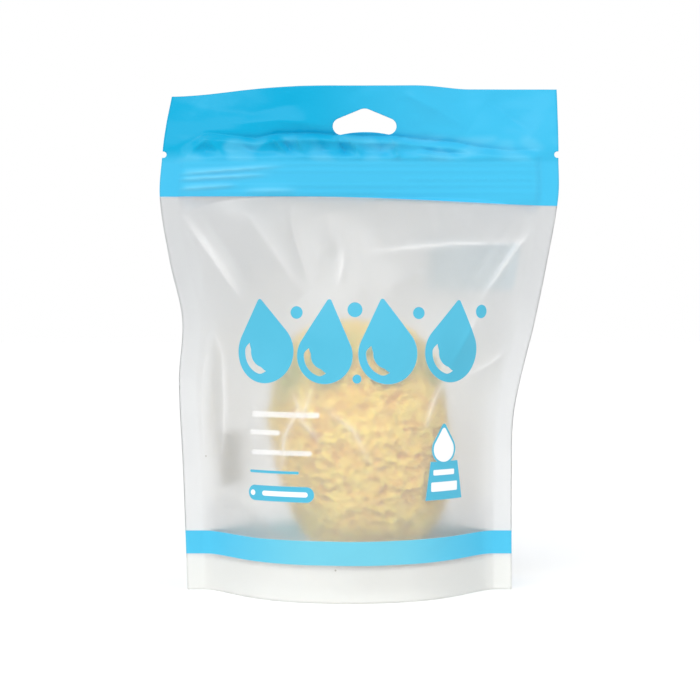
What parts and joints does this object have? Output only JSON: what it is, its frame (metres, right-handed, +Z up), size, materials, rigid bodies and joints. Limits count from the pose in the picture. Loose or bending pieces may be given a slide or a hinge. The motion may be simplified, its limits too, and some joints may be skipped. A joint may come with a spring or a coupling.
{
  "type": "sea sponge in stand-up pouch",
  "caption": "Natural sea sponge in a frosted resealable stand-up pouch with a blue header, hanging hole, press-to-close strip, tear notches and a folded bottom gusset.",
  "frame": {"origin": "on the surface that the pouch stands on, under the middle of its outline", "axes": "+Z up, -Y out of the front panel, +X to the right as the front is read"},
  "size_m": [0.15, 0.0714, 0.19],
  "materials": {
    "printed_film": "satin",
    "plain_film": "satin",
    "zip_plastic": "satin",
    "sponge_skeleton": "matte"
  },
  "bodies": {
    "root": {"front_panel": "printed_film", "back_panel": "printed_film", "bottom_gusset": "plain_film", "zip_tongue_strip": "zip_plastic", "zip_groove_strip": "zip_plastic", "sea_sponge": "sponge_skeleton"}
  },
  "joints": []
}
